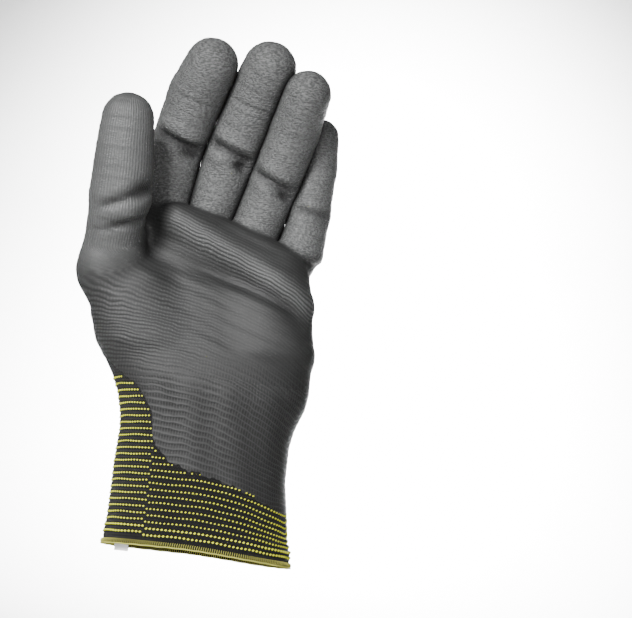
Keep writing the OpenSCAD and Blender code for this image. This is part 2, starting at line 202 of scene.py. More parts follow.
# ------------------------------------------------------------------ cuff and palm outline
# Left and right edge of the sleeve and hand, and its depth in front and behind, by height
OUTLINE_Z = np.array([0, 6, 12, 25, 36, 50, 57, 66, 73, 81, 97, 117, 128, 137, 150.0])
LEFT_X = np.array([-40.7, -41, -40.2, -39.8, -39.7, -39.2, -40, -42.2, -45.4, -50.2, -53, -44,
                   -41, -39.5, -39])
RIGHT_X = np.array([40.2, 40.3, 38.2, 36.6, 34.9, 35.3, 36.8, 40, 41.3, 41.2, 37.6, 34.6, 35.2,
                    38, 38.5])
FRONT_Y = np.array([27.5, 27.8, 27, 26, 25, 24.5, 24.2, 24, 23.5, 22, 18, 13.5, 12, 11, 9.0])
BACK_Y = np.array([27.5, 27.8, 27, 26, 25, 24, 23.5, 23, 22.5, 21, 18.5, 17.5, 17, 16, 14.0])
SECTION_POWER = 2.4              # roundness of a section: 2 is an ellipse, more is squarer
SECTION_POINTS = 1441            # points that a section is measured round with
HAND_BOTTOM_Z = 73.0             # where the cuff's mesh ends and the hand's begins
LINER_T = 1.2
COAT_T = 0.35
# The rounded forms under the palm's cloth: both ends, both radii and how flat each is
THUMB_MUSCLE = ((-31.5, -3, 80), (-51.6, -8, 117), 17.2, 11.4, 0.95)
THUMB_PAD = ((-26, -8, 92), (-36, -9, 110), 12, 12, 0.8)
HEEL = ((24.5, -6, 90), (21.5, -5, 112), 13.2, 11.5, 0.85)
KNUCKLE_BAND = ((-24, -4, 141), (24, -4, 124), 9.5, 9.5, 1.0)
THUMB_WEB = ((-50, -4, 120), (-40, 2, 140), 4.5, 6.5, 1.2)


def outline(z):
    """Middle, half width, front depth and back depth of the section at height z."""
    left, right = np.interp(z, OUTLINE_Z, LEFT_X), np.interp(z, OUTLINE_Z, RIGHT_X)
    return ((left + right) / 2, (right - left) / 2,
            np.interp(z, OUTLINE_Z, FRONT_Y), np.interp(z, OUTLINE_Z, BACK_Y))


def web_z(x):
    """Height of the webs between the fingers across the hand."""
    return 145.5 - 0.26 * x - 0.0035 * x * x


def capsule(p, a, b, ra, rb, flat=1.0):
    """A round cone; flat below 1 thins it front to back."""
    a, b = np.asarray(a, float), np.asarray(b, float)
    ab = b - a
    t = np.clip(((p - a) @ ab) / (ab @ ab), 0, 1)
    q = p - a - t[..., None] * ab
    q = q * np.array([1, 1 / flat, 1])
    return np.linalg.norm(q, axis=-1) - (ra + (rb - ra) * t)


def palm_field(p, step):
    """Distance to the palm: a flattened sleeve with the muscles under it filled out."""
    x, y, z = p[..., 0], p[..., 1], p[..., 2]
    mid, half, front, back = outline(z)
    u = np.abs(x - mid) / half
    v = np.abs(y) / np.where(y < 0, front, back)
    g = (u ** SECTION_POWER + v ** SECTION_POWER) ** (1 / SECTION_POWER)
    slope = np.sqrt(sum(d * d for d in np.gradient(g, step)))
    tube = (g - 1) / np.maximum(slope, 1e-3)
    palm = smax(tube, z - web_z(x), 7.0)
    fade = 14 * (1 - smooth((z - HAND_BOTTOM_Z) / 15))
    palm = smin(palm, capsule(p, *THUMB_MUSCLE) + fade, 9)
    palm = smin(palm, capsule(p, *THUMB_PAD) + fade, 8)
    palm = smin(palm, capsule(p, *HEEL) + fade, 15)
    palm = smin(palm, capsule(p, *KNUCKLE_BAND), 5)
    return smin(palm, capsule(p, *THUMB_WEB), 10)


def digit_fields(p):
    """Distance to each digit, with the fingers held FINGER_GAP apart."""
    raw = {}
    for digit in DIGITS:
        bones = BONES[digit]
        field = bones[0].distance(p, tip=False)
        for k in range(1, len(bones)):
            field = smin(field, bones[k].distance(p, tip=k == len(bones) - 1), PHALANX_FILLET)
        raw[digit] = field
    fields = {"thumb": raw["thumb"]}
    for digit in FINGERS:
        others = np.minimum.reduce([raw[d] for d in FINGERS if d != digit])
        fields[digit] = np.maximum(raw[digit], (raw[digit] - others + FINGER_GAP) / 2)
    return fields


def zero_surface(field, low):
    """Vertices and quads of the surface where a field on the voxel grid is zero."""
    volume = openvdb.FloatGrid(background=float(3 * VOXEL))
    volume.copyFromArray(np.clip(field, -3 * VOXEL, 3 * VOXEL).astype(np.float32))
    points, quads = volume.convertToQuads(isovalue=0.0)
    return points * VOXEL + low, np.asarray(quads, int)


# The box that the hand is meshed in, which starts a little below the mesh's lower edge
GRID_LOW = np.array([-72.0, -62.0, HAND_BOTTOM_Z - 5])
GRID_HIGH = np.array([56.0, 30.0, 232.0])
FINGER_MARGIN = 6                # how far outside a finger its own surface is kept
DIGIT_REACH = 3.0                # how far outside a digit the palm's cloth is counted as its own


def hand_surfaces():
    """The hand's outer face from the wrist up, and each finger once more on its own.

    Neighbouring fingers touch, so a finger's cloth comes from a surface that leaves the others
    out. The last array says which surface a quad is from: -1 is the whole hand, any other
    number is the finger's place in FINGERS.
    """
    axes = [np.arange(a, b, VOXEL) for a, b in zip(GRID_LOW, GRID_HIGH)]
    grid = np.stack(np.meshgrid(*axes, indexing="ij"), axis=-1)
    palm = palm_field(grid, VOXEL)
    joined_to_palm = {d: smin(palm, f, THUMB_FILLET if d == "thumb" else FINGER_FILLET)
                      for d, f in digit_fields(grid).items()}
    points, quads = zero_surface(np.minimum.reduce(list(joined_to_palm.values())), GRID_LOW)
    above = points[quads].mean(axis=1)[:, 2] > HAND_BOTTOM_Z
    used, quads = keep_faces(quads, above)
    points = points[used]
    points[np.unique(border_edges(quads)), 2] = HAND_BOTTOM_Z
    parts, owner = [(points, quads)], [np.full(len(quads), -1)]
    for k, digit in enumerate(FINGERS):
        points, quads = zero_surface(joined_to_palm[digit], GRID_LOW)
        near = digit_fields(points)[digit]
        used, quads = keep_faces(quads, near[quads].max(axis=1) < FINGER_MARGIN)
        parts.append((points[used], quads))
        owner.append(np.full(len(quads), k))
    return *joined(parts), np.concatenate(owner)


def vertex_normals(points, quads):
    a, b, c, d = (points[quads[:, k]] for k in range(4))
    face = np.cross(c - a, d - b)
    normals = np.zeros_like(points)
    for k in range(4):
        np.add.at(normals, quads[:, k], face)
    return normals / np.maximum(np.linalg.norm(normals, axis=1, keepdims=True), 1e-12)


def keep_faces(quads, keep):
    """The vertices that the kept quads use, and those quads renumbered to match."""
    used, index = np.unique(quads[keep], return_inverse=True)
    return used, index.reshape(-1, quads.shape[1])


def border_edges(quads):
    """Directed edges that belong to one quad only."""
    edges = np.concatenate([quads[:, [k, (k + 1) % 4]] for k in range(4)])
    key = np.sort(edges, axis=1)
    _, first, count = np.unique(key, axis=0, return_index=True, return_counts=True)
    return edges[first[count == 1]]


# ------------------------------------------------------------------ meshes
def make_object(name, points, quads, normals=None, uv=None, fields=None):
    mesh = bpy.data.meshes.new(name)
    mesh.vertices.add(len(points))
    mesh.vertices.foreach_set("co", (np.asarray(points) * MM).astype(np.float32).ravel())
    mesh.loops.add(quads.size)
    mesh.loops.foreach_set("vertex_index", quads.astype(np.int32).ravel())
    mesh.polygons.add(len(quads))
    mesh.polygons.foreach_set("loop_start", np.arange(0, quads.size, 4, dtype=np.int32))
    mesh.update(calc_edges=True)
    mesh.validate()
    mesh.polygons.foreach_set("use_smooth", np.ones(len(mesh.polygons), bool))
    if uv is not None:
        layer = mesh.uv_layers.new(name="knit")
        layer.data.foreach_set("uv", (uv * 0.01).astype(np.float32).ravel())
    for key, values in (fields or {}).items():
        mesh.attributes.new(key, "FLOAT", "POINT").data.foreach_set(
            "value", values.astype(np.float32))
    if fields:
        mesh.attributes.new("rest_place", "FLOAT_VECTOR", "POINT").data.foreach_set(
            "vector", np.asarray(points, np.float32).ravel())
    if normals is not None:
        mesh.normals_split_custom_set_from_vertices(normals.tolist())
    obj = bpy.data.objects.new(name, mesh)
    bpy.context.scene.collection.objects.link(obj)
    return obj


def closed_shell(name, outer, inner, quads, normals, u, v, wrap, fields=None):
    """A closed sheet of cloth between an outer and an inner face with the same quads."""
    n = len(outer)
    rim = border_edges(quads)
    faces = np.concatenate([quads, quads[:, ::-1] + n,
                            np.stack([rim[:, 1], rim[:, 0], rim[:, 0] + n, rim[:, 1] + n], axis=1)])
    uu, vv = np.concatenate([u, u])[faces], np.concatenate([v, v])[faces]
    turn = np.concatenate([wrap, wrap])[faces]
    uu = uu + turn * (uu.max(axis=1, keepdims=True) - uu > turn / 2)
    both = {k: np.concatenate([f, f]) for k, f in (fields or {}).items()}
    return make_object(name, np.concatenate([outer, inner]), faces,
                       np.concatenate([normals, -normals]), np.stack([uu, vv], axis=-1), both)


def dress(obj, material, slot, replaced):
    obj.data.materials.append(material)
    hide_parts(*replaced)


# ------------------------------------------------------------------ the hand's cloth
# Creases on the palm side: digit, place along it, depth (negative is a roll that stands
# proud), width, slant, and the middle and half span round the digit in degrees
CREASES = (
    ("index", -8.0, 2.0, 2.0, 0.8, 0, 95), ("index", 20.5, 1.0, 2.6, 2.4, 35, 30),
    ("index", 28.2, 2.3, 2.6, -1.0, 5, 62), ("index", 25.2, 1.6, 2.4, -3.6, 45, 30),
    ("index", 22.5, -1.3, 4.5, 0.0, -15, 30), ("index", 33.2, -1.0, 3.0, -1.0, 5, 55),
    ("index", 50.5, 0.3, 1.6, 0.6, 0, 60),
    ("middle", -8.5, 2.0, 2.0, 0.8, 0, 95), ("middle", 19.5, 1.0, 2.8, 2.8, 40, 30),
    ("middle", 27.2, 2.4, 2.7, -1.2, 0, 62), ("middle", 23.6, 2.0, 2.6, -4.2, 42, 28),
    ("middle", 21.5, -1.4, 4.6, 0.0, -12, 30), ("middle", 32.6, -1.1, 3.0, -1.0, 5, 55),
    ("middle", 52.0, 0.3, 1.6, 0.6, 0, 60),
    ("ring", -7.0, 2.0, 2.0, 0.8, 0, 95), ("ring", 15.5, 0.8, 2.4, 2.2, 40, 30),
    ("ring", 22.4, 2.1, 2.4, -1.0, 0, 60), ("ring", 19.4, 1.6, 2.3, -3.4, 42, 28),
    ("ring", 17.0, -1.1, 4.0, 0.0, -12, 30), ("ring", 27.4, -0.9, 2.8, -1.0, 5, 55),
    ("ring", 46.5, 0.25, 1.6, 0.6, 0, 60),
    ("little", -5.5, 1.6, 1.8, 0.8, 0, 90), ("little", 13.6, 0.5, 1.8, 1.6, 30, 40),
    ("little", 18.2, 1.6, 1.9, -1.0, 0, 55), ("little", 39.0, 0.25, 1.6, 0.4, 0, 60),
    ("thumb", 33.5, 1.7, 2.0, 4.6, 20, 60), ("thumb", 28.5, -0.9, 3.0, 3.4, 5, 45),
    ("thumb", 24.0, 1.5, 2.0, 3.0, 40, 38), ("thumb", 36.5, 1.6, 2.6, 3.0, 62, 28),
    ("thumb", 22.0, 0.8, 1.6, 3.6, -25, 35),
)
WRAP_ANGLE = math.radians(117)   # how far round a digit the coating reaches from the palm side
DIPPED_TIP = 13.0                # length of fingertip that is coated all round
PALM_EDGE_Y = 5.0                # the coating's edge along the sides of the hand
COURSE = 1.5                     # spacing of the knitted courses that show through the coating
GROOVE_REACH = 3.8               # how unequally near two fingers may be where a groove ends
COAT_UNDER = 0.25                # how far the coating reaches into the cloth under it
COAT_MARGIN = 1.0                # how far past its edge the coating's sheet runs, inside the cloth


def coat_lift(mask):
    """The coating's outer face against the full surface: it sinks into the cloth at its edge."""
    return COAT_T * 1.6 * (smooth((mask + 0.2) / 1.4) - 1)


def sag(x, y):
    """How far the courses curve down on the palm side, towards the outer side of the hand."""
    return (0.1 * x + 0.006 * np.maximum(0, x + 12) ** 2) * smooth(0.5 - y / 20)


def thickness_shown(z):
    """0 where the coating is thin and shows the cuff's rib, 1 where it hides it."""
    return smooth((z - 60) / 30)


class Hand:
    """The hand's surface with its creases, and what each vertex belongs to."""

    def __init__(self):
        self.points, self.quads, self.owner = hand_surfaces()
        p = self.points
        fields = digit_fields(p)
        distances = np.stack([fields[d] for d in DIGITS])
        self.digit = np.argmin(distances, axis=0)
        self.near = np.min(distances, axis=0)
        fingers = np.sort(np.stack([fields[d] for d in FINGERS]), axis=0)
        # How nearly equally near two fingers are: the creases fade there, and painted shade darkens
        # the groove between the fingers.
        between = smooth(1 - (fingers[1] - fingers[0]) / GROOVE_REACH)
        self.groove = between * smooth((DIGIT_REACH - fingers[0]) / DIGIT_REACH)
        self.chain, self.angle, self.radius = (np.zeros(len(p)) for _ in range(3))
        for k, digit in enumerate(DIGITS):
            m = self.digit == k
            self.chain[m], self.angle[m], self.radius[m] = chain_place(digit, p[m])
        self.crease()
        self.normals = vertex_normals(self.points, self.quads)
        self.coating_mask()
        self.knit_coordinates()

    def per_vertex(self, of_digit):
        """What of_digit gives for the digit that each vertex is nearest to."""
        return np.array([of_digit(d) for d in DIGITS])[self.digit]

    def crease(self):
        """Presses the finger creases, and the palm's ridge and valley, into the surface."""
        normals = vertex_normals(self.points, self.quads)
        depth = np.zeros(len(self.points))
        on_digit = smooth((DIGIT_REACH - self.near) / DIGIT_REACH)
        for name, place, deep, width, slant, middle, span in CREASES:
            m = (self.digit == DIGITS.index(name)) & (np.abs(self.chain - place) < 6 * width)
            a = self.angle[m]
            s = self.chain[m] - place - slant * np.sin(a) - 0.35 * np.sin(3 * a + place)
            reach = smooth(math.radians(span) + 0.5 - np.abs(a - math.radians(middle)))
            depth[m] += deep * np.exp(-(s / width) ** 2) * reach * on_digit[m]
        for k in range(len(DIGITS)):
            m = self.digit == k
            folds = ripple(self.chain[m], self.angle[m], k + 3, 4.2)
            depth[m] += 0.13 * folds * on_digit[m] * smooth((self.chain[m] + 6) / 8)
        depth *= 1 - self.groove
        x, y, z = self.points.T
        palm = smooth(-y / 6) * (1 - on_digit) * smooth((z - 76) / 12)
        ridge = 131.5 - 0.52 * x
        valley = 119.3 - 0.29 * x - 0.003 * x * x
        depth -= palm * 2.2 * np.exp(-((z - ridge) / 6.0) ** 2) * smooth((x + 36) / 14)
        depth += palm * 2.6 * np.exp(-((z - valley) / 5.0) ** 2) * smooth((42 - x) / 14) * (
            smooth((x + 34) / 30))
        depth += palm * 0.22 * ripple(z + 0.35 * x, x / 16, 11, 9.0)
        self.depth = depth
        self.points = self.points - normals * depth[:, None]

    def coating_mask(self):
        """Distance in mm inside the coating's edge, negative on the bare knit."""
        x, y, z = self.points.T
        wobble = 0.5 * np.sin(0.9 * z + 0.4 * x) + 0.3 * np.sin(1.7 * z + 2.0)
        sides = PALM_EDGE_Y - y + wobble
        wrist = (z - HAND_BOTTOM_Z) * 0.8 + (x + 41) * 0.6
        palm = np.minimum(sides, wrist)
        length = self.per_vertex(CHAIN_LENGTH.get)
        round_digit = (WRAP_ANGLE - np.abs(self.angle)) * self.radius + wobble
        finger = np.maximum(round_digit, self.chain - (length - DIPPED_TIP) + wobble)
        w = smooth((self.chain + 4) / 8) * smooth((4 - self.near) / 4)
        self.mask = palm * (1 - w) + finger * w

    def knit_coordinates(self):
        """Millimetres across the wales (u) and along the courses (v) at every vertex."""
        x, y, z = self.points.T
        slanted = smooth((z - 95) / 45)
        palm_v = z + sag(x, y) * (1 - slanted) + 0.36 * x * slanted
        roots = self.per_vertex(lambda d: hinge(f"{d}_root_bend"))
        root_v = roots[:, 2] + 0.36 * roots[:, 0]
        w = smooth((self.chain + 10) / 14) * smooth((4 - self.near) / 4)
        self.v = palm_v * (1 - w) + (root_v + self.chain) * w
        on_thumb = self.digit == DIGITS.index("thumb")
        ridge = np.exp(-((z - 128.5 + 0.5 * x) / 6.5) ** 2) * smooth((x + 34) / 16)
        heel = smooth((124 - z) / 26) * smooth((8 - x) / 34)
        self.course = (0.12 + 0.7 * np.maximum(ridge, 0.8 * heel)) * (1 - w) + 0.06 * w
        # Painted highlight along the palm's ridge, where the light catches it.
        self.painted_ridge_highlight = ridge * (1 - w)
        self.rib = w * on_thumb
        self.grain = 0.12 + (np.where(on_thumb, 0.35, 1.0) - 0.12) * w
        length = self.per_vertex(CHAIN_LENGTH.get)
        # 1 along the digits and less towards their tips: the coating's colour is lighter and less
        # rough along the digits, and the darker colour towards the tips is painted shade.
        self.stretched = w * (1 - 0.6 * smooth((self.chain - length + 14) / 14))
        mean_radius = self.per_vertex(lambda d: WIDTHS[d][1][1])
        self.u = x * (1 - w) + self.angle * mean_radius * w
        self.wrap = np.where(w > 0.5, 2 * math.pi * mean_radius, 0.0)


# The plane across the thumb's root where its cloth starts to turn, and how far on it has turned
THUMB_ROOT = np.array([-41.0, -5.0, 127.0])
THUMB_TURN = unit([-0.45, -0.3, 0.84])
THUMB_REACH = 11.5
THUMB_CUT = 22.0                 # where along the thumb its two pieces meet
# Where the bend at a finger's root starts and ends, along the finger from its hinge
ROOT_START = -4.0
ROOT_END = {"index": 8.0, "middle": 8.0, "ring": 8.0, "little": 6.0}
WRIST_START, WRIST_END = 62.0, 98.0    # heights between which the wrist bends


def bend_reach(digit, joint):
    """How far each way of its hinge a middle or tip joint bends the cloth."""
    if digit == "thumb":
        return 10.0
    return 8.0 if digit == "little" or joint == "tip" else 9.0


def hand_regions(hand):
    """Piece name -> (faces of the hand, the two bodies, start and end of the bend)."""
    face = lambda values: values[hand.quads].mean(axis=1)
    middle = hand.points[hand.quads].mean(axis=1)
    near, chain = face(hand.near), face(hand.chain)
    digit = hand.digit[hand.quads[:, 0]]
    regions, taken = {}, np.zeros(len(hand.quads), bool)
    for k, name in enumerate(DIGITS):
        bones = BONES[name]
        mine = (digit == k) & (near < DIGIT_REACH)
        own = hand.owner == (-1 if name == "thumb" else k)
        if name == "thumb":
            mine &= (middle - THUMB_ROOT) @ THUMB_TURN > 0
            ends = (THUMB_ROOT, THUMB_ROOT + THUMB_TURN * THUMB_REACH)
            cuts = [THUMB_CUT]
        else:
            mine &= chain > ROOT_START - 0.5
            h = hinge(f"{name}_root_bend")
            ends = (h + bones[0].along * ROOT_START, h + bones[0].along * ROOT_END[name])
            cuts = [bones[0].length / 2, bones[0].length + bones[1].length / 2]
        taken |= mine
        bodies = ["palm", f"{name}_proximal", f"{name}_middle", f"{name}_distal"]
        joints = ["root", "middle", "tip"]
        if name == "thumb":
            bodies.remove("thumb_middle")
            joints.remove("middle")
        edges = [-1e9] + cuts + [1e9]
        for j, joint in enumerate(joints):
            if j:
                h = hinge(f"{name}_{joint}_bend")
                reach = unit(bones[j - 1].along + bones[j].along) * bend_reach(name, joint)
                ends = (h - reach, h + reach)
            part = mine & own & (chain >= edges[j]) & (chain < edges[j + 1])
            regions[f"{name}_{joint}"] = (part, (bodies[j], bodies[j + 1]), ends)
    ends = (np.array([0, 0, WRIST_START]), np.array([0, 0, WRIST_END]))
    regions["palm"] = (~taken & (hand.owner == -1), ("cuff", "palm"), ends)
    return regions


# The CAD nodes that each stretch of knit and of coating stands for
SEGMENTS = {"root": "proximal", "middle": "middle", "tip": "distal"}


def hand_pieces(hand, knit, coating):
    """Knitted cloth and coating of the palm and of every phalanx."""
    offset = hand.points - hand.normals * COAT_T
    inner = offset - hand.normals * LINER_T
    skin = hand.points + hand.normals * coat_lift(hand.mask)[:, None]
    under = offset - hand.normals * COAT_UNDER
    # Painted shade darkens the coating by how deep the creases and the palm's valley are pressed,
    # and in the grooves between fingers; a painted highlight lightens the palm's ridge.
    tone = {"painted_shade": np.clip(hand.depth, 0, 2) + 2 * hand.groove, "course": hand.course,
            "rib": hand.rib, "grain": hand.grain, "painted_ridge_highlight": hand.painted_ridge_highlight,
            "thick": thickness_shown(hand.points[:, 2]), "stretched": hand.stretched}
    face_mask = hand.mask[hand.quads].min(axis=1)
    for name, (part, bodies, ends) in hand_regions(hand).items():
        digit, _, joint = name.partition("_")
        if name == "palm":
            knit_nodes = ["palm_liner", "thumb_crotch", "finger_webs", "wrist_fold"]
            coat_nodes = ["palm_coating"]
        else:
            fold = f"{digit}_{joint}_fold"
            knit_nodes = [fold, f"{digit}_liner_{SEGMENTS[joint]}"]
            coat_nodes = [f"{digit}_coating_{SEGMENTS[joint]}"]
        for kind, outer, back, faces, material, slot, nodes in (
                ("cloth", offset, inner, part, knit, "knit", knit_nodes),
                ("coat", skin, under, part & (face_mask > -COAT_MARGIN), coating, "coating",
                 coat_nodes)):
            used, quads = keep_faces(hand.quads, faces)
            obj = closed_shell(f"{name}_{kind}", outer[used], back[used], quads,
                               hand.normals[used], hand.u[used], hand.v[used], hand.wrap[used],
                               {k: f[used] for k, f in tone.items()})
            dress(obj, material, slot, nodes)
            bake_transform(obj)


# ------------------------------------------------------------------ the cuff
CUFF_COLUMNS = 372
CUFF_ROWS = 120
CUFF_ROUND = 215.0               # nominal length round the cuff, for its knit and its tab
ROW_PITCH = 2.73                 # spacing of the elastic courses
FIRST_ROW_Z = 5.0
STITCHES = 128    # yellow stitches in one elastic course
POINTS_PER_STITCH = 6
HEM_DROOP = 2.5                  # how far the hem hangs lower on the outer side
# The coating's lower edge on the cuff's palm side, by x and height
COAT_EDGE_X = np.array([-44, -41, -35, -30, -27, -24, -23, -19.5, -15, -8, 8, 20, 36, 44.0])
COAT_EDGE_Z = np.array([79, 73, 69, 65, 60, 55, 46, 40, 36, 33, 30, 27, 21, 19.0])
COAT_EDGE_Y = 6.0                # and how far it wraps on to the outer side
SEAM_X = -22.0                   # where every elastic course starts and ends
HEM_WRAPS = 240                  # turns of the overlock thread round the hem
POINTS_PER_WRAP = 12
EDGE_POINTS = 240                # points of the thread that lies along the hem's edge
LABEL_W, LABEL_H, LABEL_T = 9.0, 12.0, 0.3
LABEL_X = -32.0                  # the middle of the size tab
LOOKUP_Z, TURN_STEPS = 30.0, 2001    # height and fineness with which an x is turned into a turn
LABEL_TOP_Z = 10.0


def section(z, turn):
    """Points of the cuff's outer face at height z, at turns 0..1 from its outer-back side."""
    angle = np.linspace(0, 2 * math.pi, SECTION_POINTS)
    mid, half, front, back = outline(z)
    c, s = np.cos(angle), np.sin(angle)
    e = 2 / SECTION_POWER
    x = mid + half * np.sign(c) * np.abs(c) ** e
    y = np.where(s > 0, back, front) * np.sign(s) * np.abs(s) ** e
    arc = np.concatenate([[0], np.cumsum(np.hypot(np.diff(x), np.diff(y)))])
    want = (np.asarray(turn) % 1.0) * arc[-1]
    return np.interp(want, arc, x), np.interp(want, arc, y)


def cuff_mask(x, y, z):
    """Distance in mm inside the coating's edge on the cuff."""
    wobble = 0.5 * np.sin(0.8 * x) + 0.3 * np.sin(2.1 * x + 1.0)
    edge = z - np.interp(x, COAT_EDGE_X, COAT_EDGE_Z) + wobble
    side = COAT_EDGE_Y - y + 0.6 * np.sin(0.9 * z)
    return np.minimum(edge * 0.7, np.where(x > 0, side, -y))


def droop(x, z):
    """How far the courses sag towards the outer side."""
    return HEM_DROOP * smooth((x + 8) / 50) * smooth((HAND_BOTTOM_Z - z) / 50)


def row_sag(x, y, z):
    """How far the elastic courses curve down on the palm side, towards the outer side."""
    return 0.0042 * np.maximum(0, x) ** 2 * smooth(z / 26) * smooth(0.5 - y / 20)


class Cuff:
    """The cuff's outer face as rows of points, with the swell between its elastic courses."""

    def __init__(self):
        rows = np.linspace(0, HAND_BOTTOM_Z, CUFF_ROWS)
        turn = np.arange(CUFF_COLUMNS) / CUFF_COLUMNS
        grid = np.zeros((CUFF_ROWS, CUFF_COLUMNS, 3))
        for r, z in enumerate(rows):
            grid[r, :, 0], grid[r, :, 1] = section(z, turn)
            grid[r, :, 2] = z
        self.z0 = np.repeat(rows, CUFF_COLUMNS)
        self.u = np.tile(turn * CUFF_ROUND, CUFF_ROWS)
        grid = grid.reshape(-1, 3)
        r, c = np.meshgrid(np.arange(CUFF_ROWS - 1), np.arange(CUFF_COLUMNS), indexing="ij")
        a, b = (r * CUFF_COLUMNS + c).ravel(), (r * CUFF_COLUMNS + (c + 1) % CUFF_COLUMNS).ravel()
        self.quads = np.stack([a, b, b + CUFF_COLUMNS, a + CUFF_COLUMNS], axis=1)
        flat = vertex_normals(grid, self.quads)
        self.mask = cuff_mask(*grid.T)
        top = smooth((HAND_BOTTOM_Z - self.z0) / 6)
        phase = 2 * math.pi * (self.z0 - FIRST_ROW_Z) / ROW_PITCH
        swell = -0.16 * np.cos(phase) * top * (1 - 0.6 * smooth(self.mask))
        roll = 0.5 * np.exp(-((self.z0 - 1.2) / 1.2) ** 2)
        slack = 0.25 * np.sin(grid[:, 0] * 0.35 + 0.08 * self.z0) * top
        self.points = grid + flat * (swell + roll + slack)[:, None]
        self.points[:, 2] -= droop(grid[:, 0], self.z0)
        self.v = self.z0 + sag(grid[:, 0], grid[:, 1]) * smooth((self.z0 - 10) / 40)
        self.normals = vertex_normals(self.points, self.quads)


def along_cuff(cuff, turn, z, lift):
    """A point lift outside the cuff's face at each turn and height."""
    row = np.clip(z / HAND_BOTTOM_Z * (CUFF_ROWS - 1), 0, CUFF_ROWS - 1.001)
    col = (turn % 1.0) * CUFF_COLUMNS
    r, c = row.astype(int), col.astype(int) % CUFF_COLUMNS
    fr, fc = (row - r)[:, None], (col - col.astype(int))[:, None]
    c2 = (c + 1) % CUFF_COLUMNS
    pick = lambda a, rr, cc: a[rr * CUFF_COLUMNS + cc]
    mix = lambda a: ((pick(a, r, c) * (1 - fc) + pick(a, r, c2) * fc) * (1 - fr)
                     + (pick(a, r + 1, c) * (1 - fc) + pick(a, r + 1, c2) * fc) * fr)
    return mix(cuff.points) + mix(cuff.normals) * np.asarray(lift)[:, None], mix(cuff.normals)


def tube(path, out, radius, sides):
    """Points and quads of a yarn that follows path; out is roughly square to it."""
    along = np.gradient(path, axis=0)
    along /= np.linalg.norm(along, axis=1, keepdims=True)
    across = np.cross(along, out)
    across /= np.linalg.norm(across, axis=1, keepdims=True)
    up = np.cross(across, along)
    angles = 2 * math.pi * np.arange(sides) / sides
    rings = [path + radius * (math.cos(a) * up + math.sin(a) * across) for a in angles]
    points = np.stack(rings, axis=1).reshape(-1, 3)
    n = len(path)
    r, c = np.meshgrid(np.arange(n - 1), np.arange(sides), indexing="ij")
    a, b = (r * sides + c).ravel(), (r * sides + (c + 1) % sides).ravel()
    quads = np.stack([a, b, b + sides, a + sides], axis=1)
    caps = np.array([[3, 2, 1, 0], [0, 1, 2, 3]]) + np.array([[0], [(n - 1) * sides]])
    return points, np.concatenate([quads, caps])


def joined(parts):
    points, quads, base = [], [], 0
    for p, q in parts:
        points.append(p)
        quads.append(q + base)
        base += len(p)
    return np.concatenate(points), np.concatenate(quads)


def cuff_cloth(cuff, material):
    """The ribbed knit of the cuff."""
    outer = cuff.points - cuff.normals * COAT_T
    obj = closed_shell("cuff_knit", outer, outer - cuff.normals * LINER_T, cuff.quads,
                       cuff.normals, cuff.u, cuff.z0, np.full(len(outer), CUFF_ROUND))
    dress(obj, material, "knit", ["cuff_rib"])
    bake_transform(obj)


def cuff_coating(cuff, material):
    """The part of the dip that runs down over the cuff."""
    flat = np.zeros(len(cuff.points))
    # No painted shade and no painted highlight on the cuff.
    tone = {"painted_shade": flat, "course": flat + 0.8, "rib": flat, "grain": flat + 0.12,
            "painted_ridge_highlight": flat, "thick": thickness_shown(cuff.z0), "stretched": flat}
    outer = cuff.points + cuff.normals * coat_lift(cuff.mask)[:, None]
    inner = cuff.points - cuff.normals * COAT_T - cuff.normals * COAT_UNDER
    used, quads = keep_faces(cuff.quads, cuff.mask[cuff.quads].min(axis=1) > -COAT_MARGIN)
    obj = closed_shell("cuff_coating", outer[used], inner[used], quads, cuff.normals[used],
                       cuff.u[used], cuff.v[used], np.full(len(used), CUFF_ROUND),
                       {k: f[used] for k, f in tone.items()})
    dress(obj, material, "coating", ["wrist_coating"])
    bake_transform(obj)


def elastic_yarn(cuff, material):
    """The dotted courses: a yarn that rises out of the rib and sinks back at every stitch."""
    samples = STITCHES * POINTS_PER_STITCH
    seam_turn = find_turn(SEAM_X)
    rows = []
    count = int((HAND_BOTTOM_Z - 2 - FIRST_ROW_Z) / ROW_PITCH) + 1
    for k in range(count):
        t = np.linspace(0.001, 0.999, samples)
        z = FIRST_ROW_Z + ROW_PITCH * (k + 0.35 * t - 0.17)
        place, out = along_cuff(cuff, seam_turn + t, z, np.zeros(samples))
        z = z - row_sag(place[:, 0], place[:, 1], z)
        place, out = along_cuff(cuff, seam_turn + t, z, np.zeros(samples))
        stitch = np.sin(2 * math.pi * STITCHES * t + (k % 2) * math.pi)
        hidden = smooth(cuff_mask(*place.T) / 0.6 + 0.8)
        lift = (1.6 * stitch - 1.3) * (1 - hidden) - 0.9 * hidden - COAT_T
        place, out = along_cuff(cuff, seam_turn + t, z, lift)
        place[:, 2] += 0.12 * np.sin(2 * math.pi * 13 * t + k) * (k % 3 - 1)
        rows.append(tube(place, out, 0.38 if k > 1 else 0.5, 4))
    points, quads = joined(rows)
    obj = make_object("elastic_yarn", points, quads)
    dress(obj, material, "elastic_yarn", ["elastic_inlay"])
    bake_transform(obj)


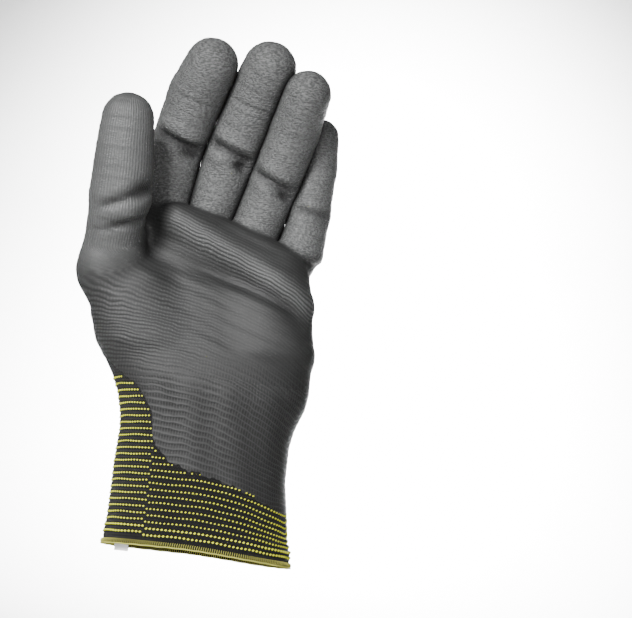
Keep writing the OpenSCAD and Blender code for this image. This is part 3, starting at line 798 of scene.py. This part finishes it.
def hem_thread(cuff, material):
    """The overlock: a thread wound round the hem, and one that lies along its edge."""
    t = np.linspace(0, 1, HEM_WRAPS * POINTS_PER_WRAP + 1)
    ring, out = along_cuff(cuff, t, np.full(len(t), 1.2), np.full(len(t), -0.9))
    phase = 2 * math.pi * HEM_WRAPS * t
    path = ring + out * (1.0 * np.cos(phase))[:, None]
    path[:, 2] += 1.1 * np.sin(phase)
    over = tube(path, out + np.array([0.02, 0.01, 0.03]), 0.13, 4)
    t = np.linspace(0, 1, EDGE_POINTS)
    lift = 0.25 + 0.12 * np.sin(2 * math.pi * 31 * t)
    edge, out = along_cuff(cuff, t, np.full(len(t), 0.3), lift)
    points, quads = joined([over, tube(edge, out, 0.3, 6)])
    obj = make_object("hem_thread", points, quads)
    dress(obj, material, "hem_thread", ["hem_overlock"])
    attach(obj, "cuff")


def find_turn(x):
    """The turn at which the cuff's palm side passes x."""
    turns = np.linspace(0.5, 1.0, TURN_STEPS)
    xs, _ = section(LOOKUP_Z, turns)
    return float(turns[np.argmin(np.abs(xs - x))])


def size_label(cuff, material):
    """A blank woven tab sewn inside the hem, its folded end just showing below it."""
    columns, rows = 14, 18
    centre = find_turn(LABEL_X)
    points = []
    for r in range(rows):
        drop = LABEL_H * r / (rows - 1)
        t = centre + (np.arange(columns) / (columns - 1) - 0.5) * LABEL_W / CUFF_ROUND
        z = np.full(columns, LABEL_TOP_Z)
        place, _ = along_cuff(cuff, t, z, np.full(columns, -2.3 - 0.3 * math.sin(r * 0.5)))
        place[:, 2] -= drop
        points.append(place)
    outer = np.concatenate(points)
    r, c = np.meshgrid(np.arange(rows - 1), np.arange(columns - 1), indexing="ij")
    a = (r * columns + c).ravel()
    quads = np.stack([a, a + columns, a + columns + 1, a + 1], axis=1)
    normals = vertex_normals(outer, quads)
    zero = np.zeros(len(outer))
    obj = closed_shell("size_label_tab", outer, outer - normals * LABEL_T, quads, normals,
                       outer[:, 0], outer[:, 2], zero)
    dress(obj, material, "label", ["size_label"])
    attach(obj, "cuff")


# ------------------------------------------------------------------ materials
class Nodes:
    """Short calls for building a material."""

    def __init__(self, name):
        self.material = bpy.data.materials.new(name)
        self.material.use_nodes = True
        self.tree = self.material.node_tree
        self.surface = self.tree.nodes["Principled BSDF"]

    def put(self, socket, value):
        if hasattr(value, "is_output"):
            self.tree.links.new(value, socket)
        else:
            socket.default_value = value

    def add(self, kind, output=0, settings=None, **inputs):
        """A node's output; an input is given by its name, or as i and its number."""
        node = self.tree.nodes.new(kind)
        for key, value in (settings or {}).items():
            setattr(node, key, value)
        for key, value in inputs.items():
            numbered = key[0] == "i" and key[1:].isdigit()
            self.put(node.inputs[int(key[1:]) if numbered else key], value)
        return node.outputs[output]

    def math(self, operation, a, b=0.0, c=0.0):
        return self.add("ShaderNodeMath", settings={"operation": operation}, i0=a, i1=b, i2=c)

    def noise(self, vector, scale, detail=2.0):
        return self.add("ShaderNodeTexNoise", i0=vector, Scale=scale, Detail=detail)

    def knit_place(self):
        """u and v in millimetres across and along the cloth, and both as a vector."""
        uv = self.add("ShaderNodeUVMap", settings={"uv_map": "knit"})
        place = self.add("ShaderNodeVectorMath", settings={"operation": "MULTIPLY"},
                         i0=uv, i1=(100, 100, 0))
        split = self.tree.nodes.new("ShaderNodeSeparateXYZ")
        self.put(split.inputs[0], place)
        return split.outputs[0], split.outputs[1], place

    def wave(self, x, pitch, phase=0.0):
        """A sine from 0 to 1 along x."""
        turned = self.math("MULTIPLY_ADD", x, 2 * math.pi / pitch, phase)
        return self.math("MULTIPLY_ADD", self.math("SINE", turned), 0.5, 0.5)

    def mix(self, factor, a, b):
        return self.add("ShaderNodeMix", output=2, settings={"data_type": "RGBA"},
                        i0=factor, i6=a, i7=b)

    def lerp(self, value, low, high):
        return self.math("MULTIPLY_ADD", value, high - low, low)

    def contrast(self, value, gain):
        """Stretches a value about a half, and holds it between 0 and 1."""
        stretched = self.math("MULTIPLY_ADD", value, gain, 0.5 - gain / 2)
        return self.math("MINIMUM", self.math("MAXIMUM", stretched, 0.0), 1.0)

    def bump(self, height, distance):
        self.put(self.surface.inputs["Normal"],
                 self.add("ShaderNodeBump", Strength=1.0, Distance=distance * MM, Height=height))

    def set(self, **values):
        for key, value in values.items():
            self.put(self.surface.inputs[key.replace("_", " ")], value)


def grey(value):
    """A nearly neutral colour, very slightly green."""
    return (value * 0.98, value, value * 0.99, 1.0)


def stitches(n, u, v, course, wale):
    """Height of plain knit: a V in every course and wale."""
    lean = n.math("MULTIPLY", n.math("PINGPONG", u, wale / 2), 1.1)
    return n.math("MULTIPLY", n.wave(n.math("ADD", v, lean), course), n.wave(u, wale / 2))


def field(n, name):
    """A value that the mesh carries at its vertices."""
    return n.add("ShaderNodeAttribute", output=2, settings={"attribute_name": name})


RIB_PITCH = 1.3                  # spacing of the cuff's ribs under thin coating
WALE_PITCH = 1.4                 # and of the wales on the hand


def coating_material():
    """Polyurethane on knit: the rib's lines and gaps at the cuff, courses and grain above, with
    painted shade in the creases and grooves and painted highlights on the palm's ridge, the courses
    and the grain.
    """
    n = Nodes("coating_grey")
    u, v, place = n.knit_place()
    body = n.add("ShaderNodeAttribute", output=1, settings={"attribute_name": "rest_place"})
    grain_place = n.add("ShaderNodeVectorMath", settings={"operation": "MULTIPLY"},
                        i0=body, i1=(0.55, 1.0, 1.3))
    patches = n.noise(body, 0.09, 3.0)
    drift = n.math("MULTIPLY_ADD", n.noise(place, 0.09), 3.0, v)
    thick = field(n, "thick")
    thin = n.math("SUBTRACT", 1.0, thick)
    line = n.math("MULTIPLY", n.math("POWER", n.wave(drift, ROW_PITCH), 6.0), thin)
    gap = n.math("MULTIPLY", n.contrast(n.wave(drift, ROW_PITCH, math.pi), 2.2),
                 n.contrast(n.wave(u, RIB_PITCH), 2.5))
    gap = n.math("MULTIPLY", gap, thin)
    wale = n.wave(n.math("MULTIPLY_ADD", n.noise(place, 0.1), 1.2, u), WALE_PITCH)
    shown = n.math("MULTIPLY", field(n, "course"), thick)
    course = n.math("MULTIPLY", n.wave(drift, COURSE), shown)
    furrow = n.math("SUBTRACT", shown, course)
    rib = n.math("MULTIPLY", wale, field(n, "rib"))
    speck = n.contrast(n.noise(grain_place, 1.3, 3.0), 3.6)
    speck = n.math("MULTIPLY", speck, field(n, "grain"))
    height = n.math("MULTIPLY_ADD", course, n.lerp(wale, 0.9, 1.3), n.math("MULTIPLY", rib, 0.5))
    height = n.math("MULTIPLY_ADD", line, 0.5, height)
    height = n.math("MULTIPLY_ADD", gap, -0.5, height)
    height = n.math("MULTIPLY_ADD", speck, 1.1, height)
    n.bump(height, 0.22)
    tint = n.mix(patches, grey(0.006), grey(0.015))
    tint = n.mix(thin, tint, grey(0.005))
    bars = n.math("MULTIPLY", n.math("POWER", n.wave(u, RIB_PITCH, math.pi), 4.0), thin)
    tint = n.mix(n.math("MULTIPLY", bars, 0.6), tint, grey(0.016))
    # Lighter colour along the digits; towards the tips it darkens again, and that darkening is
    # painted shade.
    tint = n.mix(field(n, "stretched"), tint, n.mix(patches, grey(0.038), grey(0.064)))
    tint = n.mix(gap, tint, grey(0.001))
    tint = n.mix(n.math("MULTIPLY", line, n.lerp(patches, 0.2, 0.9)), tint, grey(0.025))
    tint = n.mix(n.math("MULTIPLY", furrow, 0.75), tint, grey(0.005))
    # The courses are lighter: partly the knit's own pattern, partly a painted highlight on their
    # ridges, strongest along the palm's ridge and heel.
    tint = n.mix(n.math("MULTIPLY", course, n.lerp(wale, 0.45, 0.8)), tint, grey(0.06))
    tint = n.mix(n.math("MULTIPLY", rib, 0.4), tint, grey(0.1))
    # The grain is real bump; its lighter specks in the colour are a painted glint on the grain's
    # peaks.
    tint = n.mix(n.math("MULTIPLY", n.contrast(speck, 1.8), 0.8), tint, grey(0.105))
    # Painted highlight: the colour lightens along the palm's ridge, most on the courses.
    painted_ridge_highlight = n.math("MULTIPLY", field(n, "painted_ridge_highlight"), n.lerp(course, 0.1, 0.5))
    tint = n.mix(painted_ridge_highlight, tint, grey(0.12))
    # Painted shade: the colour darkens in the creases, the palm's valley and the grooves between
    # fingers.
    deep = n.math("MULTIPLY", field(n, "painted_shade"), 0.38)
    n.set(Base_Color=n.mix(n.math("MINIMUM", deep, 0.85), tint, grey(0.006)),
          Roughness=n.math("MULTIPLY_ADD", field(n, "stretched"), -0.22,
                           n.lerp(patches, 0.56, 0.66)),
          Specular_IOR_Level=0.34)
    return n.material


def knit_material(name, base, course, wale):
    n = Nodes(name)
    u, v, place = n.knit_place()
    loops = stitches(n, u, v, course, wale)
    fuzz = n.noise(place, 5.0, 3.0)
    n.bump(n.math("MULTIPLY_ADD", fuzz, 0.5, loops), 0.35)
    n.set(Base_Color=n.mix(loops, grey(base * 0.4), grey(base)), Roughness=0.85,
          Sheen_Weight=0.04, Sheen_Roughness=0.5, Specular_IOR_Level=0.15)
    return n.material


def plain_material(name, colour, roughness, sheen=0.2):
    n = Nodes(name)
    n.set(Base_Color=colour, Roughness=roughness, Sheen_Weight=sheen, Specular_IOR_Level=0.2)
    return n.material


# ------------------------------------------------------------------ camera, floor and light
CAMERA_PLACE = (40.35, -762.6, -23.0)
CAMERA_PITCH = math.radians(10)  # how far the view looks up from level
CAMERA_ROLL = math.radians(6)


def place_camera():
    """A camera in front of the palm and below it, pitched up and then rolled."""
    data = bpy.data.cameras.new("camera")
    camera = bpy.data.objects.new("camera", data)
    bpy.context.scene.collection.objects.link(camera)
    data.lens, data.sensor_width, data.clip_start = 100, 36, 0.01
    pitched = Matrix.Rotation(math.pi / 2 + CAMERA_PITCH, 4, "X")
    rolled = Matrix.Rotation(CAMERA_ROLL, 4, "Z")
    camera.matrix_world = Matrix.Translation([v * MM for v in CAMERA_PLACE]) @ pitched @ rolled
    bpy.context.scene.camera = camera


def area_light(name, place, size, watts, target=(0, 0, 0.11), spread=180):
    data = bpy.data.lights.new(name, "AREA")
    data.energy, data.size, data.spread = watts, size, math.radians(spread)
    light = bpy.data.objects.new(name, data)
    bpy.context.scene.collection.objects.link(light)
    light.location = place
    light.rotation_euler = (Vector(target) - Vector(place)).to_track_quat("-Z", "Y").to_euler()


def studio():
    """A pale cove under and behind the glove, and soft light from above and in front."""
    front, back, bend, top, floor, half_width = -0.9, 0.5, 0.4, 1.6, -0.06, 1.4
    profile = [(front, 0.0), (back, 0.0)]
    profile += [(back + bend * math.sin(a), bend - bend * math.cos(a))
                for a in np.linspace(0.1, 1.57, 14)]
    profile += [(back + bend, top)]
    points = [(x, y, z + floor) for y, z in profile for x in (-half_width, half_width)]
    faces = [(2 * k, 2 * k + 1, 2 * k + 3, 2 * k + 2) for k in range(len(profile) - 1)]
    mesh = bpy.data.meshes.new("cove")
    mesh.from_pydata(points, [], faces)
    mesh.polygons.foreach_set("use_smooth", np.ones(len(faces), bool))
    mesh.materials.append(plain_material("cove_white", (0.65, 0.65, 0.65, 1), 0.9, 0.0))
    cove = bpy.data.objects.new("cove", mesh)
    bpy.context.scene.collection.objects.link(cove)
    world = bpy.data.worlds.new("studio")
    bpy.context.scene.world = world
    world.use_nodes = True
    world.node_tree.nodes["Background"].inputs[0].default_value = (1, 1, 1, 1)
    world.node_tree.nodes["Background"].inputs[1].default_value = 0.28
    area_light("key", (-0.36, -0.76, 0.5), 0.3, 8.4, spread=110)
    area_light("fill", (0.3, -0.85, 0.25), 0.5, 1.4, spread=110)
    area_light("backdrop", (0.05, 0.35, 0.7), 0.3, 39, (0.08, 0.9, 0.16), 75)


materials = {
    "cuff": knit_material("cuff_black_knit", 0.009, 1.365, 1.15),
    "coating": coating_material(),
    "yarn": plain_material("elastic_yellow", (0.58, 0.6, 0.03, 1), 0.8, 0.0),
    "hem": plain_material("hem_yellow", (0.34, 0.33, 0.07, 1), 0.85, 0.0),
    "label": plain_material("label_white", (0.82, 0.82, 0.8, 1), 0.8),
}
hand_pieces(Hand(), knit_material("black_knit", 0.016, 1.1, 1.3), materials["coating"])
cuff = Cuff()
cuff_cloth(cuff, materials["cuff"])
cuff_coating(cuff, materials["coating"])
elastic_yarn(cuff, materials["yarn"])
hem_thread(cuff, materials["hem"])
size_label(cuff, materials["label"])
place_camera()
studio()
